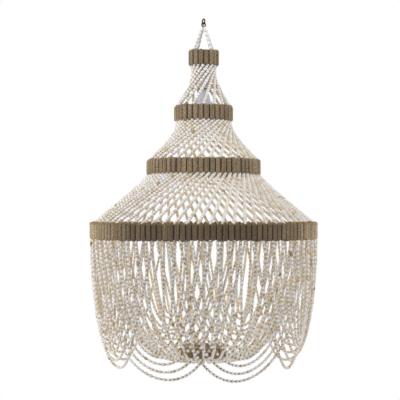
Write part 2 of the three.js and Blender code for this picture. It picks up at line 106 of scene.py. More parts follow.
class Finish:
    """A material with one Principled shader. Constants go straight onto the shader's sockets."""

    def __init__(self, name, **constants):
        self.material = bpy.data.materials.new(name)
        self.material.use_nodes = True
        self.tree = self.material.node_tree
        self.shader = self.tree.nodes["Principled BSDF"]
        for socket, value in constants.items():
            self.shader.inputs[socket.replace("_", " ")].default_value = value

    def node(self, kind, settings=None, sockets=None, output=0):
        node = self.tree.nodes.new(kind)
        for key, value in (settings or {}).items():
            if key == "stops":
                ramp = node.color_ramp
                while len(ramp.elements) < len(value):
                    ramp.elements.new(0.5)
                for element, (place_on_ramp, colour) in zip(ramp.elements, value):
                    element.position, element.color = place_on_ramp, colour
            else:
                setattr(node, key, value)
        for key, value in (sockets or {}).items():
            if isinstance(value, Wire):
                self.tree.links.new(value.socket, node.inputs[key])
            else:
                node.inputs[key].default_value = value
        return Wire(self, node.outputs[output])

    def mark(self, name, output="Fac"):
        return self.node("ShaderNodeAttribute", {"attribute_name": name}, output=output)

    def spot(self):
        return self.node("ShaderNodeTexCoord", output="Object")

    def surface(self):
        """The two places of a point in the piece's own map."""
        spot = self.node("ShaderNodeUVMap", {"uv_map": "surface"})
        return [self.node("ShaderNodeSeparateXYZ", {}, {0: spot}, axis) for axis in "XY"]

    def noise(self, vector, scale, detail=3.0, roughness=0.55):
        sockets = {"Vector": vector, "Scale": scale, "Detail": detail, "Roughness": roughness}
        return self.node("ShaderNodeTexNoise", {}, sockets)

    def mix(self, share, first, second, blend="MIX"):
        settings = {"data_type": "RGBA", "blend_type": blend, "clamp_factor": True}
        return self.node("ShaderNodeMix", settings, {0: share, 6: first, 7: second}, 2)

    def between(self, value, low, high):
        """0 below low, 1 above high, straight in between."""
        return self.node("ShaderNodeMapRange", {"clamp": True}, {0: value, 1: low, 2: high})

    def feed(self, **wires):
        for socket, wire in wires.items():
            self.tree.links.new(wire.socket, self.shader.inputs[socket.replace("_", " ")])
        return self

    def bump(self, height, strength, distance):
        sockets = {"Height": height, "Strength": strength, "Distance": distance * MM}
        return self.feed(Normal=self.node("ShaderNodeBump", {}, sockets))


def paint(red, green, blue):
    """A colour as seen on a screen, 0 to 255, as the linear values that a shader takes."""
    seen = np.array([red, green, blue]) / 255
    linear = np.where(seen > 0.04045, ((seen + 0.055) / 1.055) ** 2.4, seen / 12.92)
    return (*linear.tolist(), 1.0)


# %% [markdown]
# ## Floor, world and lamps
# The lamp hangs well above a pale floor. Near the lamp the floor is an ordinary matt surface
# that catches the shadow, and further out it fades to the white of the background, so no edge
# shows. The world sends white to the camera and to reflections, and less to the surfaces. Three
# soft lamps stand to the left, to the right and in front. Three small ones inside the strings
# stand in for the light that comes through from behind, and they swing with the chandelier.

# %% Floor, world and lamps
FLOOR_DROP = 1850.0
FLOOR_HALF = 6000.0
FLOOR_MATT_METRES, FLOOR_WHITE_METRES = 1.9, 2.9
WORLD_LIGHT = 0.72
LAMP_AIM = -450
FILL_LAMPS = ((-340, 0.06), (-480, 0.3), (-720, 0.6))
FILL_SIZE = 30

floor_mesh = bpy.data.meshes.new("floor")
floor_corners = np.array([[-1, -1], [1, -1], [1, 1], [-1, 1]]) * FLOOR_HALF
floor_points = np.column_stack([floor_corners, np.full(4, -FLOOR_DROP)]) * MM
floor_mesh.from_pydata(floor_points.tolist(), [], [(0, 1, 2, 3)])
floor = bpy.data.objects.new("floor", floor_mesh)
bpy.context.collection.objects.link(floor)

floor_finish = Finish("pale_floor", Roughness=0.9, Base_Color=paint(232, 232, 230))
reach = floor_finish.node("ShaderNodeVectorMath", {"operation": "LENGTH"},
                          {0: floor_finish.spot()}, "Value")
glow = floor_finish.node("ShaderNodeEmission", {}, {"Color": (1, 1, 1, 1), "Strength": 1.0})
fade = floor_finish.between(reach, FLOOR_MATT_METRES, FLOOR_WHITE_METRES)
floor_sum = floor_finish.node("ShaderNodeMixShader", {}, {0: fade, 2: glow})
floor_finish.tree.links.new(floor_finish.shader.outputs[0], floor_sum.socket.node.inputs[1])
floor_end = floor_finish.tree.nodes["Material Output"]
floor_finish.tree.links.new(floor_sum.socket, floor_end.inputs["Surface"])
floor_mesh.materials.append(floor_finish.material)

world = bpy.data.worlds.new("studio")
bpy.context.scene.world = world
world.use_nodes = True
world_tree = world.node_tree
light_path = world_tree.nodes.new("ShaderNodeLightPath")
background = world_tree.nodes["Background"]
background.inputs["Color"].default_value = (1, 1, 1, 1)
seen = light_path.outputs["Is Camera Ray"]
for ray in ("Is Glossy Ray", "Is Transmission Ray"):
    both = world_tree.nodes.new("ShaderNodeMath")
    both.operation = "MAXIMUM"
    world_tree.links.new(seen, both.inputs[0])
    world_tree.links.new(light_path.outputs[ray], both.inputs[1])
    seen = both.outputs[0]
strength = world_tree.nodes.new("ShaderNodeMapRange")
world_tree.links.new(seen, strength.inputs[0])
strength.inputs[3].default_value = WORLD_LIGHT
strength.inputs[4].default_value = 1.0
world_tree.links.new(strength.outputs[0], background.inputs["Strength"])


def soft_lamp(name, at, power, size):
    """A square area lamp of a power in watts, turned to the middle of the object."""
    lamp_data = bpy.data.lights.new(name, "AREA")
    lamp_data.energy, lamp_data.size = power, size * MM
    lamp = bpy.data.objects.new(name, lamp_data)
    lamp.location = Vector(at) * MM
    aim = Vector((0, 0, LAMP_AIM)) * MM - lamp.location
    lamp.rotation_euler = aim.to_track_quat("-Z", "Y").to_euler()
    bpy.context.collection.objects.link(lamp)


for height, power in FILL_LAMPS:
    fill_data = bpy.data.lights.new("fill", "POINT")
    fill_data.energy, fill_data.shadow_soft_size = power, FILL_SIZE * MM
    fill = bpy.data.objects.new("fill", fill_data)
    fill.location = (0, 0, height * MM)
    bpy.context.collection.objects.link(fill)
    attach(fill, "chandelier")

soft_lamp("left_lamp", (-2400, -100, 100), 26, 1600)
soft_lamp("right_lamp", (2400, -100, 100), 18, 1600)
soft_lamp("front_lamp", (-700, -2200, 1500), 26, 1400)

# %% [markdown]
# ## Surfaces from whole arrays
# Every new piece is a grid of points worked out with numpy. `place` gives a point from its
# distance to the lamp's axis, its angle from the front and its height. `piece` writes points
# and faces into a mesh in one go and puts the piece on the body that it moves with.

# %% Grids, pieces and placing
def place(radius, angle, z):
    """x = radius times the sine of the angle, y = minus radius times its cosine."""
    radius, angle, z = np.broadcast_arrays(radius, angle, z)
    return np.stack([radius * np.sin(angle), -radius * np.cos(angle), z], axis=-1)


def unit(vectors):
    """Each vector divided by its length."""
    return vectors / np.maximum(np.linalg.norm(vectors, axis=-1, keepdims=True), 1e-9)


def grid_faces(rows, columns, close_rows=False, close_columns=False):
    """Corners of the cells of a grid. A closed direction joins its last line to its first.
    The faces look along (step between rows) cross (step between columns)."""
    i, j = np.meshgrid(
        np.arange(rows if close_rows else rows - 1),
        np.arange(columns if close_columns else columns - 1),
        indexing="ij",
    )
    i, j = i.ravel(), j.ravel()
    down, right = (i + 1) % rows, (j + 1) % columns
    faces = np.column_stack([i * columns + j, down * columns + j,
                             down * columns + right, i * columns + right])
    steps = np.stack([np.column_stack([i, i + 1, i + 1, i]),
                      np.column_stack([j, j, j + 1, j + 1])], axis=-1)
    return faces, steps


def piece(name, points, faces, finish, nodes=(), body="chandelier",
          uv=None, marks=None, sharp=None, weld=False):
    """Makes one mesh from points in millimetres and arrays of 3 or 4 corner numbers."""
    mesh = bpy.data.meshes.new(name)
    corners = np.concatenate([f.ravel() for f in faces]).astype(np.int32)
    sizes = np.concatenate([np.full(len(f), f.shape[1]) for f in faces])
    starts = np.concatenate([[0], np.cumsum(sizes)[:-1]]).astype(np.int32)
    mesh.vertices.add(len(points))
    mesh.vertices.foreach_set("co", (points * MM).astype(np.float32).ravel())
    mesh.loops.add(len(corners))
    mesh.loops.foreach_set("vertex_index", corners)
    mesh.polygons.add(len(sizes))
    mesh.polygons.foreach_set("loop_start", starts)
    mesh.polygons.foreach_set("use_smooth", np.ones(len(sizes), bool))
    if uv is not None:
        mesh.uv_layers.new(name="surface").data.foreach_set("uv", uv.astype(np.float32).ravel())
    for mark, values in (marks or {}).items():
        kind, field = ("FLOAT_VECTOR", "vector") if values.ndim == 2 else ("FLOAT", "value")
        layer = mesh.attributes.new(mark, kind, "POINT")
        layer.data.foreach_set(field, values.astype(np.float32).ravel())
    mesh.update(calc_edges=True)
    mesh.validate()
    if weld:
        whole = bmesh.new()
        whole.from_mesh(mesh)
        bmesh.ops.remove_doubles(whole, verts=whole.verts, dist=1e-6)
        whole.to_mesh(mesh)
        whole.free()
    if sharp:
        mesh.set_sharp_from_angle(angle=math.radians(sharp))
    mesh.materials.append(finish.material)
    made = bpy.data.objects.new(name, mesh)
    bpy.context.collection.objects.link(made)
    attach(made, body)
    if nodes:
        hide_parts(*nodes)
    return made


# %% [markdown]
# ## Sizes of the rings
# These repeat the model's own numbers: the outer radius of each wrapped ring and how far its
# top edge lies below the hanging point. The twine is wound in bundles, and the strings between
# two rings leave and arrive between bundles.

# %% Rings
RING_RADIUS = {1: 40.0, 2: 78.0, 3: 151.0, 4: 300.0, 5: 60.0}
RING_DROP = {1: 86.5, 2: 234.5, 3: 377.5, 4: 545.5, 5: 868.0}
RING_HEIGHT = {1: 41.0, 2: 41.0, 3: 41.0, 4: 41.0, 5: 30.0}
BUNDLES = {1: 16, 2: 32, 3: 64, 4: 128, 5: 24}
WRAP = 14.0


def middle(ring):
    """Radius of the hoop's middle."""
    return RING_RADIUS[ring] - WRAP / 2


def top(ring):
    return -RING_DROP[ring]


def bottom(ring):
    return -RING_DROP[ring] - RING_HEIGHT[ring]


# %% [markdown]
# ## Whitewashed wooden beads
# The beads are turned from pale wood and washed with thin white paint, so most are off-white,
# some show grey or beige wood, and a few are brown. Each bead carries marks that the finish
# reads: its own tone, how near a point is to the string holes, and a place in the bead,
# stretched along the grain, that makes the streaks follow every bead's own direction. The necks
# between beads get a tan painted shade. The side towards the axis is tinted beige. The swags get
# a grey brown painted shade round their string holes, on the outer side and most at the front
# and the back.

# %% Finish of the beads and the thread
beads = Finish("whitewashed_wood", Roughness=0.6)
tone = beads.mark("tone")
rim = beads.mark("rim")
inner = beads.mark("inner")
weather = beads.mark("weather")
grain = beads.mark("grain", "Vector")
wood = beads.node("ShaderNodeValToRGB", {"stops": [
    (0.00, paint(226, 225, 227)), (0.50, paint(222, 220, 219)), (0.78, paint(217, 211, 202)),
    (0.94, paint(212, 201, 182)), (0.985, paint(200, 182, 152)), (0.997, paint(168, 142, 110)),
    (1.00, paint(124, 94, 66))]}, {0: tone})
streaks = beads.noise(grain, 0.9, 4.0, 0.6)
worn = beads.between(streaks, 0.52, 0.72)
washed = beads.mix(worn * 0.4, wood, beads.mix(0.5, wood, paint(176, 152, 116)))
# The side towards the axis is tinted beige.
beige = beads.mix(inner, washed, beads.mix(1.0, washed, paint(246, 234, 208), "MULTIPLY"))
# Painted shade: tan where the beads meet, near the string holes.
painted_neck_shade = beads.mix(rim * (0.2 + 0.5 * tone), beige, paint(176, 152, 112))
# Painted shade on the swags: grey brown round the string holes, on the outer side, most at the
# front and the back.
swag_shade_share = rim * weather * (0.4 + 0.5 * streaks + 0.35 * tone) + weather * 0.05
beads.feed(Base_Color=beads.mix(swag_shade_share, painted_neck_shade, paint(88, 70, 52)),
           Roughness=0.52 + streaks * 0.25)
beads.bump(streaks, 0.35, 0.4)

thread = Finish("cotton_thread", Roughness=0.9, Base_Color=paint(206, 196, 176))
fibres = thread.noise(thread.spot(), 900.0)
thread.feed(Base_Color=thread.mix(fibres, paint(176, 160, 132), paint(226, 218, 200)))
thread.bump(fibres, 0.4, 0.2)

# %% [markdown]
# ## One bead, thousands of times
# A bead is a long oval of revolution: its radius follows one minus the squared distance from its
# middle to a small power, which keeps it full. It has only a few dozen faces, because there are
# thousands. The swags have rounder beads. All beads of a group are made at once: every point of
# the pattern is scaled, turned along its string and moved to its place by array arithmetic.

# %% Bead pattern and strings
BEAD_DIAMETER = 7.7
BEAD_PITCH = 11.2
THREAD_RADIUS = 0.7
BEAD_SIDES = 8
TILT = 0.4
LENGTH_SPREAD, GIRTH_SPREAD = 0.1, 0.05
BEAD_LENGTH_SHARE = 0.985
THREAD_SIDES, THREAD_STEP = 5, 12
BEAD_STATIONS = np.array([-0.9, -0.55, 0.0, 0.55, 0.9])


def bead_pattern(power):
    """Rings of points at the stations, with radius (1 - station squared) to a power, and one
    point at each end. Length 2 along x, radius 1. A smaller power makes a fuller bead."""
    round_angles = np.arange(BEAD_SIDES) / BEAD_SIDES * 2 * np.pi
    radius = (1 - BEAD_STATIONS**2) ** power
    rings = np.stack([
        np.broadcast_to(BEAD_STATIONS[:, None], (len(radius), BEAD_SIDES)),
        radius[:, None] * np.cos(round_angles),
        radius[:, None] * np.sin(round_angles),
    ], axis=-1).reshape(-1, 3)
    points = np.vstack([rings, [[-1, 0, 0], [1, 0, 0]]])
    quads, _ = grid_faces(len(radius), BEAD_SIDES, close_columns=True)
    side = np.arange(BEAD_SIDES)
    following = (side + 1) % BEAD_SIDES
    last = (len(radius) - 1) * BEAD_SIDES
    caps = np.vstack([
        np.column_stack([np.full(BEAD_SIDES, len(rings)), side, following]),
        np.column_stack([np.full(BEAD_SIDES, len(rings) + 1), last + following, last + side]),
    ])
    return points, quads, caps


LONG_BEAD, ROUND_BEAD = bead_pattern(0.13), bead_pattern(0.4)


def along(path):
    """Distance run from the path's start to each of its points."""
    steps = np.linalg.norm(np.diff(path, axis=0), axis=1)
    return np.concatenate([[0], np.cumsum(steps)])


def at(path, run, wanted):
    """Points of the path at the distances wanted, by straight interpolation."""
    return np.stack([np.interp(wanted, run, path[:, k]) for k in range(3)], axis=-1)


def bead_row(path, pitch):
    """Ends of the beads of one string. Bead lengths vary by a tenth, the first bead is cut
    shorter, and all are then scaled to fill the string exactly."""
    run = along(path)
    count = max(int(round(run[-1] / pitch / chance.uniform(0.94, 1.06))), 1)
    lengths = 1 + LENGTH_SPREAD * chance.standard_normal(count).clip(-2, 2)
    lengths[0] *= chance.uniform(0.4, 1)
    ends = np.concatenate([[0], np.cumsum(lengths)]) / lengths.sum() * run[-1]
    return at(path, run, ends)


def tube(path, reference, radius, sides):
    """Circles of points square to the path, closed into a tube. The reference direction
    fixes where each circle starts."""
    forward = unit(np.gradient(path, axis=0))
    out = unit(reference - (reference * forward).sum(-1, keepdims=True) * forward)
    side = np.cross(forward, out)
    turn = np.arange(sides) / sides * 2 * np.pi
    return (path[:, None] + radius * (np.cos(turn)[None, :, None] * out[:, None]
                                      + np.sin(turn)[None, :, None] * side[:, None]))


def bead_strings(name, strings, node, diameter=BEAD_DIAMETER, pitch=BEAD_PITCH, darkest=1.0,
                 painted_shading=0.0, pattern=LONG_BEAD):
    """The beads and the thread of a group of strings, each a path and the direction that faces
    outwards along it. A point of a bead is its middle plus its three places, each times a
    direction of the bead. Darkest scales how brown a group gets. The rim mark rises to 1 at
    the string holes, where a painted shade darkens the necks. The inner mark and the painted
    shade of the swags follow the cosine between a bead's surface and the way out from the
    axis; an argument sets how strong the swags' painted shade is and widens the neck shade."""
    rows = [bead_row(path, pitch) for path, _ in strings]
    starts = np.vstack([row[:-1] for row in rows])
    ends = np.vstack([row[1:] for row in rows])
    count = len(starts)
    forward = unit(ends - starts + TILT * chance.standard_normal((count, 3)).clip(-1.5, 1.5))
    side = unit(np.cross(forward, chance.standard_normal((count, 3))))
    third = np.cross(forward, side)
    length = np.linalg.norm(ends - starts, axis=1) * BEAD_LENGTH_SHARE
    girth = diameter * (1 + GIRTH_SPREAD * chance.standard_normal((count, 2)).clip(-1.6, 1.2))
    bead, quads, caps = pattern
    x, y, z = bead.T
    rim_start, rim_end = 0.7 - 0.35 * painted_shading, BEAD_STATIONS[-1]
    middles = (starts + ends)[:, None] / 2
    points = (middles
              + (x[None, :, None] * length[:, None, None] / 2) * forward[:, None]
              + (y[None, :, None] * girth[:, :1, None] / 2) * side[:, None]
              + (z[None, :, None] * girth[:, 1:, None] / 2) * third[:, None])
    outward = unit(middles * np.array([1, 1, 0]))
    facing = (unit(points - middles) * outward).sum(-1)
    firsts = (np.arange(count) * len(bead))[:, None, None]
    faces = [(quads[None] + firsts).reshape(-1, 4), (caps[None] + firsts).reshape(-1, 3)]
    grain = np.stack([y * diameter / 2, z * diameter / 2, x * pitch / 8], axis=-1)
    marks = {
        "tone": np.repeat(darkest * chance.random(count), len(bead)),
        "rim": np.tile(np.clip((np.abs(x) - rim_start) / (rim_end - rim_start), 0, 1), count),
        "inner": darkest * np.clip(0.2 - facing * 1.4, 0, 1).ravel(),
        # Painted shade of the swags, on the outer side and most at the front and the back.
        "weather": (painted_shading * np.clip(0.35 + facing * 1.4, 0, 1)
                    * np.clip(1.8 * np.abs(outward[..., 1]) - 0.7, 0, 1)).ravel(),
        "grain": (grain[None] + 90 * chance.random((count, 1, 3))).reshape(-1, 3),
    }
    piece(f"{name}_beads", points.reshape(-1, 3), faces, beads, [node], marks=marks)
    thread_points, thread_faces, first = [], [], 0
    for path, reference in strings:
        run = along(path)
        stations = np.linspace(0, run[-1], max(int(run[-1] / THREAD_STEP), 3) + 1)
        line, out = at(path, run, stations), at(reference, run, stations)
        circles = tube(line, out, THREAD_RADIUS, THREAD_SIDES)
        quads, _ = grid_faces(len(stations), THREAD_SIDES, close_columns=True)
        thread_points.append(circles.reshape(-1, 3))
        thread_faces.append(quads[:, ::-1] + first)
        first += circles.shape[0] * THREAD_SIDES
    piece(f"{name}_thread", np.vstack(thread_points), [np.vstack(thread_faces)], thread)
    return count


bead_total = 0

# %% [markdown]
# ## Strings between the rings
# Each string of a tier runs straight from the underside of one ring to the top of the next,
# and arrives further round, so the straight strings together make a waisted, twisted form.

# %% Hangers and tiers
# Upper ring, lower ring, twist in degrees, strings, groups, bead diameter, darkest
TIERS = {
    "tier_a": (1, 2, 90.0, 16, 4, 8.2, 0.85),
    "tier_b": (2, 3, 61.875, 32, 4, 8.6, 1.0),
    "tier_c": (3, 4, 25.3125, 64, 8, 8.6, 1.0),
}
TIER_PITCH = 8.4
HANGER_DIAMETER, HANGER_PITCH, HANGER_DARKEST = 8.8, 11.8, 0.4
HANGERS, HANGER_ANGLE = 4, 35
INTO_JUTE = 1.5
KNOT_BOTTOM = -31.4
KNOT_STRING_RADIUS = 6.3


def straight(start, end, steps=24):
    """Points at even steps on the line from start to end."""
    share = np.linspace(0, 1, steps)[:, None]
    return start * (1 - share) + end * share


for tier, (upper, lower, twist, strings, groups, diameter, darkest) in TIERS.items():
    per_group = strings // groups
    for group in range(groups):
        lines = []
        for string in range(group * per_group, (group + 1) * per_group):
            angle = 2 * np.pi * string / strings
            high = place(middle(upper), angle, bottom(upper) + INTO_JUTE)
            low = place(middle(lower), angle - np.radians(twist), top(lower) - INTO_JUTE)
            path = straight(high, low)
            lines.append((path, path * np.array([1, 1, 0])))
        name = f"{tier}_strings_{group + 1}"
        bead_total += bead_strings(name, lines, name, diameter, TIER_PITCH, darkest)

for number in range(HANGERS):
    angle = np.radians(HANGER_ANGLE + 360 / HANGERS * number)
    path = straight(place(KNOT_STRING_RADIUS, angle, KNOT_BOTTOM + 1),
                    place(middle(1), angle, top(1) - INTO_JUTE))
    name = f"hanger_string_{number + 1}"
    bead_total += bead_strings(name, [(path, path * np.array([1, 1, 0]))], name,
                               HANGER_DIAMETER, HANGER_PITCH, HANGER_DARKEST)
print("beads in hangers and tiers", bead_total)

# %% [markdown]
# ## Swags
# A loose string between two points hangs in a catenary, whose height is its scale times the
# hyperbolic cosine of the distance over that scale. The loops hang on a barrel that narrows
# towards the bottom. Neighbouring nests overlap. A loop's left arm lies outside the right arms
# that it crosses, and the string changes layer at its lowest point.

# %% Swags
SWAG_TOP = bottom(4)
SWAG_DROP = 342.0
SWAG_DROP_SHARES = [0.66, 0.70, 0.76, 0.80, 0.83, 0.88, 0.94, 1.00]
NEST_DROP_SHARES = [1, 0.95, 0.96, 0.98, 0.97, 0.96, 0.95, 0.99]
SWAG_LAYER = 4.6
SWAG_CROSSING_SHARE = 0.1
BARREL_TAPER, BARREL_TUCK, BARREL_TUCK_POWER = 47.0, 22.0, 8
NESTS, LOOPS, NEST_ANGLE = 8, 8, 20.0
STRING_HALF = 3.1


def halved(depth_at, wanted, low, high):
    """Scale at which the depth comes to the depth wanted. A larger scale hangs shallower."""
    for _ in range(60):
        scale = math.sqrt(low * high)
        low, high = (scale, high) if depth_at(scale) > wanted else (low, scale)
    return math.sqrt(low * high)


def swag(loop, nest_middle, nest_share, samples=90):
    """One loop, at even steps of its length: across = scale * asinh(length / scale), and
    height = lowest + root of (scale squared + length squared) - scale."""
    hang = SWAG_TOP - STRING_HALF
    pitch = 2 * np.pi / (NESTS * LOOPS * 2)
    left, right = (2 * loop + 1) * pitch, (2 * loop + 2) * pitch
    half_span = middle(4) * (left + right) / 2
    drop = SWAG_DROP * SWAG_DROP_SHARES[loop] * nest_share
    scale = halved(lambda a: a * (math.cosh(half_span / a) - 1), drop, 0.01 * half_span,
                   100 * half_span)
    half_length = scale * math.sinh(half_span / scale)
    length = np.linspace(-half_length, half_length, samples)
    across = scale * np.arcsinh(length / scale)
    z = hang - drop + np.hypot(scale, length) - scale
    swap = np.clip(length / half_length / 2 / SWAG_CROSSING_SHARE, -1, 1)
    layer = -SWAG_LAYER * np.sin(swap * np.pi / 2)
    depth = (hang - z) / SWAG_DROP
    barrel = middle(4) - BARREL_TAPER * depth**2 - BARREL_TUCK * depth**BARREL_TUCK_POWER
    angle = nest_middle + (right - left) / 2 + across / barrel
    path = place(barrel + layer, angle, z)
    path[0, 2] = path[-1, 2] = SWAG_TOP + INTO_JUTE
    return path, place(1.0, angle, 0.0)


swag_beads = 0
for nest in range(NESTS):
    turn = np.radians(NEST_ANGLE + 360 / NESTS * nest)
    name = f"swag_nest_{nest + 1}"
    loops = [swag(loop, turn, NEST_DROP_SHARES[nest]) for loop in range(LOOPS)]
    swag_beads += bead_strings(name, loops, name, painted_shading=1.0, pattern=ROUND_BEAD)
print("beads in swags", swag_beads)

# %% [markdown]
# ## Bowl of strings
# Inside the swags the strings hang from the inner face of ring 4, dip below the small ring and
# rise to its underside. Each is half a catenary and a bit of the other half, in an upright
# plane through the axis.

# %% Bowl
BOWL_STRINGS, BOWL_GROUPS = 40, 4
BOWL_RISE = 12
BOWL_TOP = bottom(4) + BOWL_RISE
BOWL_LOW_RADIUS = 75.0


def bowl_string(angle, samples=70):
    """radius = low radius + scale * reach, height = low + scale * (cosh(reach) - 1)."""
    outer = RING_RADIUS[4] - WRAP - BOWL_LOW_RADIUS
    inner = BOWL_LOW_RADIUS - middle(5)
    rise = BOWL_TOP - (bottom(5) - STRING_HALF)
    scale = halved(lambda a: a * (math.cosh(outer / a) - math.cosh(inner / a)), rise, 1, 9000)
    low = BOWL_TOP - scale * (math.cosh(outer / scale) - 1)
    length = np.linspace(math.sinh(outer / scale), -math.sinh(inner / scale), samples)
    reach = np.arcsinh(length)
    z = low + scale * (np.cosh(reach) - 1)
    z[-1] = bottom(5) + INTO_JUTE
    path = place(BOWL_LOW_RADIUS + scale * reach, angle, z)
    sideways = np.array([math.cos(angle), math.sin(angle), 0])
    return path, np.broadcast_to(sideways, path.shape)


bowl_beads = 0
per_group = BOWL_STRINGS // BOWL_GROUPS
for group in range(BOWL_GROUPS):
    numbers = range(group * per_group, (group + 1) * per_group)
    lines = [bowl_string(2 * np.pi * k / BOWL_STRINGS) for k in numbers]
    name = f"bowl_strings_{group + 1}"
    bowl_beads += bead_strings(name, lines, name)
print("beads in bowl", bowl_beads, "beads in all", bead_total + swag_beads + bowl_beads)

# %% [markdown]
# ## Jute
# Each ring is a flat hoop wound with thick jute twine, in bundles with a narrow gap between
# them where the dark paint of the hoop shows. The finish draws the two plies of the twine as
# slanting stripes along each turn, with loose fibres, and every turn has its own tone. The
# widest ring gets painted light at its sides, painted shade at its front and back and a warm
# painted light on its upper side.

# %% Finish of the jute
jute = Finish("jute_twine", Roughness=0.95, Sheen_Weight=0.5, Sheen_Roughness=0.6,
              Sheen_Tint=paint(216, 196, 164))
turns, lengthwise = jute.surface()
ply = jute.node("ShaderNodeMath", {"operation": "SINE"},
                {0: lengthwise * (2 * math.pi / 3.4) + turns * (2 * math.pi)})
own = jute.node("ShaderNodeTexWhiteNoise", {"noise_dimensions": "1D"},
                {"W": jute.node("ShaderNodeMath", {"operation": "FLOOR"}, {0: turns})}, "Value")
fine = jute.node("ShaderNodeCombineXYZ", {}, {0: turns * 6.0, 1: lengthwise * 0.8})
fuzz = jute.noise(fine, 1.0, 5.0, 0.7)
coarse = jute.node("ShaderNodeCombineXYZ", {}, {0: turns * 0.6, 1: lengthwise * 0.26})
clumps = jute.noise(coarse, 1.0, 3.0, 0.6)
patches = jute.noise(jute.spot(), 38.0, 2.0, 0.5)
tone, bare, shade, crest = (jute.mark(name) for name in ("tone", "bare", "shade", "crest"))
light = (jute.between(clumps, 0.34, 0.66) * 0.5 + jute.between(fuzz, 0.36, 0.64) * 0.16
         + own * 0.2 + tone * 0.14)
twine = jute.node("ShaderNodeValToRGB", {"stops": [
    (0.0, paint(36, 28, 20)), (0.3, paint(103, 87, 67)), (0.7, paint(161, 145, 120)),
    (1.0, paint(224, 208, 178))]}, {0: light})
aged = jute.mix(jute.between(patches, 0.45, 0.75) * 0.3, twine, paint(104, 88, 70))
# Painted light and shade: lit is the twine brightened and the shade mark mixes it towards a darker
# copy, so the widest ring shows painted light at its sides and painted shade at its front and back,
# while the other rings stay near their own colour.
lit = jute.mix(1.0, aged, paint(322, 322, 318), "MULTIPLY")
painted_light_and_shade = jute.mix(shade, lit, jute.mix(1.0, aged, paint(186, 176, 170), "MULTIPLY"))
# Painted warm light on the upper side of the widest ring.
topped = jute.mix(crest * 0.7, painted_light_and_shade, jute.mix(1.0, twine, paint(226, 190, 134), "MULTIPLY"))
jute.feed(Base_Color=jute.mix(bare, topped, paint(14, 20, 20)))
jute.bump(fuzz * 0.5 + ply * 0.25 + clumps * 0.5, 0.7, 0.7)

# %% [markdown]
# ## Turns of twine
# The wrap is one closed surface round each hoop: its section is a rounded rectangle, and its
# height above that section rises and falls from turn to turn. Bundle edges lean a little and
# bundles differ in width, thickness and length, as hand winding does, and each bundle is rounded
# off at its ends, so the rings have scalloped edges. Between most bundles the paint shows.

# %% Wraps
TURNS = 7
TURN_STATIONS = np.array([0.0, 0.22, 0.5, 0.78])
TURN_LIFT = np.array([-0.8, 0.15, 0.45, 0.15])
CORNER = 5.6
CORNER_POINTS = 5
GAP_SHARES = {1: (0.1, 0.16), 2: (0.08, 0.14), 3: (0.09, 0.15), 4: (0.1, 0.17), 5: (0.04, 0.1)}
TIGHT_SHARE = {1: 0.0, 2: 0.05, 3: 0.08, 4: 0.08, 5: 0.2}
SCALLOP = {1: 3.4, 2: 2.6, 3: 2.0, 4: 2.6, 5: 2.6}
TOP_BULGE = {1: 0.6, 2: 0.3, 3: 0.3, 4: 3.6, 5: 0.3}
GROOVE_DEPTH = 9.0
TIGHT_GAP = 0.012
LEAN_SPREAD, END_SPREAD = 0.04, 0.6
# Painted shade: one even value for all rings but the widest, and how far the widest ring's painted
# shade reaches round from its front and back.
EVEN_SHADE, SHADE_WIDTH = 0.57, 0.45


def rounded_section(height):
    """Outline of the wrap: a rectangle with quarter circles at its corners, up the outside and
    down the inside, with a point in the middle of each long side. Returns places, outward
    directions and the length run so far."""
    quarter = np.linspace(0, np.pi / 2, CORNER_POINTS)
    half_width, half_height = WRAP / 2 - CORNER, height / 2 - CORNER
    places, outward = [], []
    for turn, (sx, sz) in enumerate([(1, 1), (-1, 1), (-1, -1), (1, -1)]):
        directions = np.column_stack([np.cos(quarter + turn * np.pi / 2),
                                      np.sin(quarter + turn * np.pi / 2)])
        places.append(np.array([sx * half_width, sz * half_height]) + CORNER * directions)
        outward.append(directions)
        if turn % 2:
            places.append(np.array([[sx * (half_width + CORNER), 0.0]]))
            outward.append(np.array([[sx, 0.0]]))
    places, outward = np.vstack(places), np.vstack(outward)
    run = np.linalg.norm(np.roll(places, -1, axis=0) - places, axis=1)
    return places, outward, np.concatenate([[0], np.cumsum(run)])


def bundle_rows(left, right):
    """Stations across one bundle, as shares of its room: the groove's floor, the turns and the
    floor again. With each station go its height, how bare it is and its count of turns."""
    steps = (np.arange(TURNS)[:, None] + TURN_STATIONS).ravel() / TURNS
    swell, each = chance.normal(0, 0.4), chance.normal(0, 0.22, TURNS)
    crown = -1.6 * np.abs(2 * (np.arange(TURNS) + 0.5) / TURNS - 1) ** 5
    lift = (TURN_LIFT + (each + crown + swell)[:, None]).ravel()
    lift[0] -= 1.2
    share = np.concatenate([[left * 0.5], left + (right - left) * steps,
                            [right, right + (1 - right) * 0.5]])
    height = np.concatenate([[-GROOVE_DEPTH], lift, [lift[0], -GROOVE_DEPTH]])
    bare = np.concatenate([[1.0, 0.6], np.zeros(len(lift) - 1), [0.6, 1.0]])
    count = np.concatenate([[0], steps * TURNS, [TURNS, TURNS]])
    return share, height, bare, count


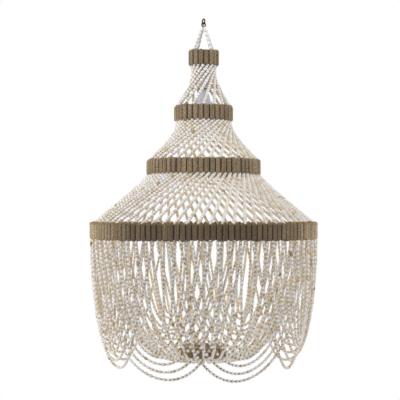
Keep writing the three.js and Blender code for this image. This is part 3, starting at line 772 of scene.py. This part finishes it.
def wrap(ring):
    """Surface point = section point + height * outward direction, turned to its angle. The
    angle of a point leans with its height, from one edge of the bundle to the other. The shade
    mark paints shade on the widest ring at the front and back and light at its sides, and sets
    the others evenly. The upper side of the widest ring gets a painted warm light."""
    bundles = BUNDLES[ring]
    section, outward, section_run = rounded_section(RING_HEIGHT[ring])
    gap = chance.uniform(*GAP_SHARES[ring], bundles)
    gap[chance.random(bundles) < TIGHT_SHARE[ring]] = TIGHT_GAP
    rows = [bundle_rows(gap[k], 1 - gap[(k + 1) % bundles]) for k in range(bundles)]
    inside, height, bare, count = (np.stack(column) for column in zip(*rows))
    per_bundle = inside.shape[1]
    number = np.arange(bundles)[:, None]
    share, turn_mark = (number + inside).ravel(), (number * (TURNS + 1) + count).ravel()
    owner = np.repeat(np.arange(bundles), per_bundle)
    bow = (2 * inside.ravel() - 1)[:, None] ** 2
    up, down = np.clip(outward[:, 1], 0, 1)[None], np.clip(-outward[:, 1], 0, 1)[None]
    ends = chance.normal(0, END_SPREAD, (2, bundles))[:, owner, None]
    lift = (height.ravel()[:, None] + (TOP_BULGE[ring] * (1 - bow) + ends[0]) * up + ends[1] * down
            - SCALLOP[ring] * bow**2 * (up + 0.6 * down))
    deepest = -(4.6 * np.abs(outward[:, 0]) + 3.0 * np.abs(outward[:, 1]))
    depth = np.maximum(lift, deepest[None])
    vertical = section[:, 1] / (RING_HEIGHT[ring] / 2)
    lean = chance.normal(0, LEAN_SPREAD, bundles)[np.floor(share + 0.5).astype(int) % bundles]
    drift = lean * np.clip(1 - 4 * np.abs(share + 0.5 - np.floor(share + 0.5) - 0.5), 0, 1)
    angle = (share[:, None] + drift[:, None] * vertical[None]) * 2 * np.pi / bundles
    moved = section[None] + depth[..., None] * outward[None]
    points = place(middle(ring) + moved[..., 0], angle,
                   (top(ring) + bottom(ring)) / 2 + moved[..., 1])
    faces, steps = grid_faces(*points.shape[:2], close_rows=True, close_columns=True)
    turn_mark = np.append(turn_mark, bundles * (TURNS + 1))
    uv = np.stack([turn_mark[steps[..., 0]], section_run[steps[..., 1]]], axis=-1)
    whole = np.ones(points.shape[:2])
    widest = ring == 4
    marks = {
        "bare": whole * bare.reshape(-1, 1),
        "tone": whole * chance.random(bundles)[owner, None],
        # Painted shade at the widest ring's front and back, painted light at its sides.
        "shade": (np.clip((1 - np.abs(np.sin(angle))) / SHADE_WIDTH, 0, 1) if widest
                  else whole * EVEN_SHADE),
        # Painted warm light on the widest ring's upper side.
        "crest": whole * up * widest,
    }
    return piece(f"ring_{ring}_twine", points.reshape(-1, 3), [faces], jute,
                 [f"ring_{ring}_wrap"], uv=uv.reshape(-1, 2),
                 marks={name: values.ravel() for name, values in marks.items()})


for ring in BUNDLES:
    made = wrap(ring)
    print(made.name, "bundles", BUNDLES[ring], "faces", len(made.data.polygons))

# %% [markdown]
# ## Metal, plastic, ceramic and glass
# The lamp inside is ordinary hardware. Zinc plate is a soft grey with slightly darker
# crystals. The link is dark bronze, the ring black oxide worn to brown. The holder is
# moulded plastic with a fine grain, its insert unglazed ceramic. The bulb's glass is frosted
# inside, so it is drawn as a smooth, pale, slightly blue white with a thin coat.

# %% Finishes of the hardware
def hardware(name, first, second, scale, rough, rough_gain, metallic=0.0, bump=0.1, **more):
    """Two shades mixed by a noise in object space, which also moves the roughness and bump."""
    finish = Finish(name, Metallic=metallic, **more)
    cloud = finish.noise(finish.spot(), scale, 4.0, 0.6)
    share = finish.between(cloud, 0.35, 0.7)
    finish.feed(Base_Color=finish.mix(share, paint(*first), paint(*second)),
                Roughness=rough + cloud * rough_gain)
    finish.bump(cloud, bump, 0.2)
    return finish


zinc = hardware("zinc_plate", (176, 178, 180), (140, 142, 146), 420, 0.22, 0.25, metallic=1.0)
hoop_paint = hardware("hoop_paint", (24, 32, 31), (46, 52, 48), 260, 0.45, 0.3, bump=0.3)
black_oxide = hardware("black_oxide", (58, 52, 52), (92, 80, 76), 330, 0.24, 0.3, metallic=0.8)
bronze = hardware("dark_bronze", (84, 60, 44), (52, 40, 34), 330, 0.3, 0.3, metallic=0.8)
pale_plastic = hardware("holder_plastic", (214, 211, 204), (200, 197, 190), 900, 0.4, 0.2,
                        bump=0.15)
ceramic = hardware("bare_ceramic", (222, 216, 204), (200, 192, 178), 500, 0.5, 0.3, bump=0.2)
brass = hardware("brass_strip", (196, 160, 92), (160, 122, 62), 500, 0.2, 0.3, metallic=1.0)
aluminium = hardware("rolled_aluminium", (188, 190, 194), (160, 162, 168), 600, 0.25, 0.25,
                     metallic=1.0)
frosted = hardware("frosted_glass", (206, 207, 220), (196, 197, 212), 120, 0.3, 0.1, bump=0.02,
                   Coat_Weight=0.25, Coat_Roughness=0.12)

cord = Finish("whipping_cord", Roughness=0.85)
cord_round, cord_along = cord.surface()
cord_ply = cord.node("ShaderNodeMath", {"operation": "SINE"},
                     {0: cord_along * (2 * math.pi / 1.6) + cord_round * (4 * math.pi)})
cord_fibre = cord.noise(cord.spot(), 1500.0)
cord_light = cord.between(cord_ply * 0.3 + cord_fibre, 0.2, 0.9)
cord.feed(Base_Color=cord.mix(cord_light, paint(196, 184, 160), paint(238, 232, 218)))
cord.bump(cord_ply * 0.5 + cord_fibre * 0.5, 0.5, 0.3)

# %% [markdown]
# ## Turned and bent hardware
# Caps, nuts, the stem and the bulb are surfaces of revolution: a profile of radius and height
# turned round the axis, with its corners eased. A ripple adds what isn't round, such as a screw
# thread, a knurl or six flats. The link, ring and cord are tubes along a path.

# %% Helpers for turned and bent pieces
def eased(profile, radius, closed=True, arc=4):
    """Each corner becomes a short parabola: (1-t)^2 before + 2t(1-t) corner + t^2 after."""
    profile = np.array(profile, float)
    before, after = np.roll(profile, 1, axis=0), np.roll(profile, -1, axis=0)
    t = np.linspace(0, 1, arc)[:, None]
    out = []
    for index, (a, p, b) in enumerate(zip(before, profile, after)):
        if not closed and index in (0, len(profile) - 1):
            out.append(p[None])
            continue
        back, on = np.linalg.norm(a - p), np.linalg.norm(b - p)
        start = p + (a - p) * min(radius / back, 0.4)
        end = p + (b - p) * min(radius / on, 0.4)
        out.append((1 - t) ** 2 * start + 2 * t * (1 - t) * p + t**2 * end)
    return np.vstack(out)


def refined(profile, step, closed=True):
    """The same outline with points added so that none are further apart than the step."""
    ring = np.vstack([profile, profile[:1]]) if closed else profile
    run = along(ring)
    fine = [np.linspace(a, b, max(int(math.ceil((b - a) / step)), 1), endpoint=False)
            for a, b in zip(run[:-1], run[1:])]
    wanted = np.concatenate(fine + ([] if closed else [run[-1:]]))
    return np.stack([np.interp(wanted, run, ring[:, k]) for k in range(2)], axis=-1)


def turned(name, node, profile, finish, closed=True, around=48, ripple=None,
           body="chandelier", ease=0.5, step=None, axis=None, sharp=40):
    """Row i is the profile turned by the angle i. Profiles run up the outside and down the
    inside, or from the lowest point on the axis to the highest. The ripple gives the radius
    and height of each point from its angle, radius and height."""
    outline = eased(profile, ease, closed)
    if step:
        outline = refined(outline, step, closed)
    angle = (np.arange(around) / around * 2 * np.pi)[:, None]
    radius, height = outline[None, :, 0], outline[None, :, 1]
    if ripple:
        radius, height = ripple(angle, radius, height)
    points = place(radius, angle, height)
    if axis:
        points = axis(points)
    faces, steps = grid_faces(around, len(outline), close_rows=True, close_columns=closed)
    return piece(name, points.reshape(-1, 3), [faces], finish, [node], body, sharp=sharp,
                 weld=not closed)


def screw_thread(pitch, depth, low, high, core=0.0):
    """The radius falls by the depth times (1 + cos(angle - 2 pi height / pitch)) / 2, between
    two heights and outside the core radius."""
    def ripple(angle, radius, height):
        wave = (1 + np.cos(angle - 2 * np.pi * height / pitch)) / 2
        ends = np.clip((height - low) / pitch, 0, 1) * np.clip((high - height) / pitch, 0, 1)
        return radius - depth * wave * ends * (radius > core), height + 0 * angle
    return ripple


def six_flats(across, low=0.0, high=np.inf):
    """Between two radii, the radius is at most the flat's distance over the cosine of the
    angle from its middle."""
    def ripple(angle, radius, height):
        from_flat = (angle + np.pi / 6) % (np.pi / 3) - np.pi / 6
        flat = across / 2 / np.cos(from_flat)
        cut = (radius > low) & (radius <= high)
        return np.where(cut, np.minimum(radius, flat), radius), height + 0 * angle
    return ripple


def knurl(count, depth, core, narrow=0.0, low=-np.inf, high=np.inf):
    """Grooves outside the core radius and between two heights, as deep as the depth, wherever
    the cosine of the angle times the count is over a limit."""
    def ripple(angle, radius, height):
        groove = (np.cos(count * angle) > narrow) & (radius > core)
        groove = groove & (height > low) & (height < high)
        return radius - depth * groove, height + 0 * angle
    return ripple


def bent(name, path, reference, radius, sides, finish, nodes=(), body="chandelier",
         closed=True):
    """A round rod along a path, with its UV map running round and along it."""
    if closed:
        wide = np.vstack([path[-1:], path, path[:1]])
        wide_reference = np.vstack([reference[-1:], reference, reference[:1]])
        circles = tube(wide, wide_reference, radius, sides)[1:-1]
        run = along(np.vstack([path, path[:1]]))
    else:
        circles = tube(path, reference, radius, sides)
        run = along(path)
    faces, steps = grid_faces(*circles.shape[:2], close_rows=closed, close_columns=True)
    uv = np.stack([steps[..., 1] / sides, run[steps[..., 0]]], axis=-1)
    return piece(name, circles.reshape(-1, 3), [faces[:, ::-1]], finish, nodes, body,
                 uv=uv[:, ::-1].reshape(-1, 2))


# %% [markdown]
# ## Link, ring and knot
# The lamp hangs by an oval link. A ring goes through the link, and a cord eye round the ring
# ends in a whipped knot that holds the four hanger strings.

# %% Link, ring and knot
LINK_TURN = math.radians(-60)
LINK_HEIGHT, LINK_WIDTH, LINK_WIRE = 17.4, 16.0, 3.8
RING_WIDTH, RING_WIRE, RING_MIDDLE = 14.6, 3.6, -17.0
WIRE_SIDES = 16
CORD_RADIUS, WHIPPING_RADIUS = 1.2, 0.95
WHIPPING_TURNS, WHIPPING_POINTS = 4.6, 300
EYE_BEND, KNOT_TOP = 3.3, -26.4
EYE_MIDDLE = RING_MIDDLE - (RING_WIDTH - RING_WIRE) / 2


def upright(across, z, heading):
    """Points of an upright flat shape whose plane runs along the heading, and its normal."""
    heading += LINK_TURN
    path = np.stack([across * math.cos(heading), across * math.sin(heading), z], axis=-1)
    normal = np.array([-math.sin(heading), math.cos(heading), 0.0])
    return path, np.broadcast_to(normal, path.shape)


turn = np.linspace(0, 2 * np.pi, 72, endpoint=False)
bend = (LINK_WIDTH - LINK_WIRE) / 2
shift = np.clip(np.cos(turn) * 6, -1, 1) * (LINK_HEIGHT - LINK_WIDTH) / 2
link_line, link_normal = upright(
    bend * np.sin(turn), bend * np.cos(turn) + shift - LINK_HEIGHT / 2, 0)
bent("link_wire", link_line, link_normal, LINK_WIRE / 2, WIRE_SIDES, bronze,
     ["hanging_link"], "link")
bend = (RING_WIDTH - RING_WIRE) / 2
ring_line, ring_normal = upright(
    bend * np.sin(turn), RING_MIDDLE + bend * np.cos(turn), math.pi / 2)
bent("ring_wire", ring_line, ring_normal, RING_WIRE / 2, WIRE_SIDES, black_oxide,
     ["hanging_ring"], "ring")

over = np.linspace(np.pi / 2, -np.pi / 2, 25)
leg = np.array([KNOT_TOP - 2, KNOT_TOP, EYE_MIDDLE - 1])
eye_line, eye_normal = upright(
    np.concatenate([np.full(3, EYE_BEND), EYE_BEND * np.sin(over), np.full(3, -EYE_BEND)]),
    np.concatenate([leg, EYE_MIDDLE + EYE_BEND * np.cos(over), leg[::-1]]), 0)
bent("knot_eye", eye_line, eye_normal, CORD_RADIUS, 12, cord, closed=False)
share = np.linspace(0, 1, WHIPPING_POINTS)
coil_line = place(2.2 + 5.4 * share**0.8, share * 2 * np.pi * WHIPPING_TURNS,
                  KNOT_TOP - 1.0 - 2.6 * share)
upwards = np.tile([0.0, 0.0, 1.0], (WHIPPING_POINTS, 1))
bent("knot_whipping", coil_line, upwards, WHIPPING_RADIUS, 8, cord, closed=False)
turned("knot_core", "apex_knot", [[0, KNOT_BOTTOM], [7.6, KNOT_BOTTOM], [8.2, KNOT_BOTTOM + 1.2],
                                  [3.2, KNOT_TOP - 0.8], [0, KNOT_TOP - 0.6]],
       cord, closed=False)

# %% [markdown]
# ## Cross bar, stem and nuts
# A strap across ring 1 carries the lamp. Its bent tabs are screwed to the hoop, and the hollow
# threaded stem goes through its middle between two nuts, with the cord grip on top.

# %% Lamp suspension
SCREW_HEIGHT, TAB_REACH = -108.0, 24.78
NUT_ACROSS, SOCKET_ACROSS = 14, 2.26
turned("threaded_stem", "lamp_stem", [[4.9, -156], [4.9, -90], [3, -90], [3, -156]], zinc,
       around=32, ripple=screw_thread(1.0, 0.5, -155.5, -90.5, core=4), ease=0.3, step=0.25)
for name, node, high in (("nut_above_bar", "stem_nut_upper", -94.7),
                         ("nut_below_bar", "stem_nut_lower", -101.3)):
    turned(name, node, [[5.3, high - 4], [7.1, high - 4], [8.08, high - 3.4], [8.08, high - 0.6],
                        [7.1, high], [5.3, high]], zinc,
           ripple=six_flats(NUT_ACROSS, low=5.5), ease=0.2, around=72, sharp=25)
turned("grip_body", "cord_grip", [[5.3, -94.4], [7, -94.4], [7, -87.4], [5, -84.4], [3.5, -84.4],
                                  [3.5, -89.7], [5.3, -89.7]], pale_plastic,
       ripple=knurl(18, 0.25, 6.4), around=144, ease=0.4, sharp=30)
for number, side in ((1, 1), (2, -1)):
    head, seat, tip = TAB_REACH - 4.7, TAB_REACH - 2.3, 34.5
    turned(f"screw_{number}", f"crossbar_screw_{number}",
           [[0, head + 1.3], [1.3, head + 1.3], [1.3, head], [2.6, head], [3.75, head + 1.4],
            [3.75, seat], [2, seat], [2, tip], [0, tip]], zinc, closed=False,
           ripple=six_flats(SOCKET_ACROSS, high=1.35), ease=0.25, sharp=30,
           axis=lambda p, s=side: np.stack([s * p[..., 2], s * p[..., 0],
                                            p[..., 1] + SCREW_HEIGHT], axis=-1))

# %% [markdown]
# ## Lampholder and bulb
# The holder is a domed cap, a shell with an outer thread that clamps the shade ring, and a
# ceramic insert. The bulb screws in from below: a contact tip, a cap with a thread rolled in
# thin metal, and the frosted globe.

# %% Lampholder
HOLDER_TOP, CAP_BOTTOM, SHELL_TOP, SHELL_BOTTOM = -148.0, -160.0, -160.3, -188.3
turned("holder_cap", "lampholder_cap",
       [[17, CAP_BOTTOM], [19, CAP_BOTTOM], [19, -154], [16.8, -149.6], [13, HOLDER_TOP],
        [5.3, HOLDER_TOP], [5.3, -150], [12, -150], [17, -154]], pale_plastic,
       around=96, ripple=knurl(36, 0.4, 18.6, narrow=0.2, low=CAP_BOTTOM + 0.5, high=-155.5),
       sharp=30)
turned("holder_shell", "lampholder_shell",
       [[14.75, SHELL_BOTTOM], [19, SHELL_BOTTOM], [19, SHELL_TOP], [17.3, SHELL_TOP],
        [17.3, SHELL_BOTTOM + 1], [14.75, SHELL_BOTTOM + 1]], pale_plastic,
       around=72, ripple=screw_thread(2.5, 0.9, -187.5, -170, core=18), step=0.5)
turned("holder_insert", "lampholder_insert",
       [[0, -164.8], [13.9, -164.8], [13.9, -187], [17, -187], [17, SHELL_TOP], [0, SHELL_TOP]],
       ceramic, closed=False, around=64)
turned("clamping_ring", "shade_ring", [[19.3, -187.3], [23, -187.3], [23, -182.3], [19.3, -182.3]],
       pale_plastic, around=192, ripple=knurl(48, 0.5, 22), sharp=30)

# %% Bulb
TIP_TOP, CAP_TOP, THREAD_TOP, THREAD_BOTTOM = -166.4, -168.5, -173.0, -191.5
CAP_PITCH, CAP_THREAD_DEPTH = 3.629, 1.2
BULB_MIDDLE, BULB_RADIUS, GLASS_WALL = -243.4, 30.0, 1
turned("bulb_tip", "bulb_contact", [[0, TIP_TOP - 1.8], [4.75, TIP_TOP - 1.8], [4.7, TIP_TOP - 0.9],
                                    [2.4, TIP_TOP], [0, TIP_TOP]], zinc, closed=False,
       body="bulb_tip", around=32)
cap_thread = screw_thread(CAP_PITCH, CAP_THREAD_DEPTH, THREAD_BOTTOM + 2, THREAD_TOP, core=12.6)
turned("bulb_cap", "bulb_screw_cap",
       [[0, -174.2], [11.6, -174.2], [11.6, THREAD_BOTTOM], [13.1, THREAD_BOTTOM],
        [13.1, THREAD_TOP], [5, CAP_TOP], [0, CAP_TOP]], aluminium,
       closed=False, body="bulb", around=64, ripple=cap_thread, step=0.45)
polar = np.radians(np.linspace(180, 40, 40))
globe = np.column_stack([BULB_RADIUS * np.sin(polar), BULB_MIDDLE + BULB_RADIUS * np.cos(polar)])
neck = np.array([[15.6, -208.5], [13.2, -200.0], [12.0, -193.5], [11.3, -191.5], [11.3, -181.5]])
outer = np.vstack([globe, neck])
inner = np.column_stack([np.maximum(outer[::-1, 0] - GLASS_WALL, 0), outer[::-1, 1]])
raised = BULB_MIDDLE + (inner[:, 1] - BULB_MIDDLE) * (BULB_RADIUS - GLASS_WALL) / BULB_RADIUS
inner[:, 1] = np.where(inner[:, 1] < BULB_MIDDLE, raised, inner[:, 1])
turned("bulb_globe", "bulb_glass", np.vstack([outer, inner]), frosted,
       closed=False, body="bulb", around=64, ease=0.6, sharp=60)

# %% [markdown]
# ## Finishes of the pieces that stay as modelled
# The five hoops, the cross bar and the contact strip already have the right shape, so only
# their material slots change.

# %% Better finishes for the modelled pieces
for node, finish in {**{f"ring_{n}_hoop": hoop_paint for n in BUNDLES},
                     "lamp_crossbar": zinc, "lampholder_contact": brass}.items():
    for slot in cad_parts[node].material_slots:
        slot.material = finish.material
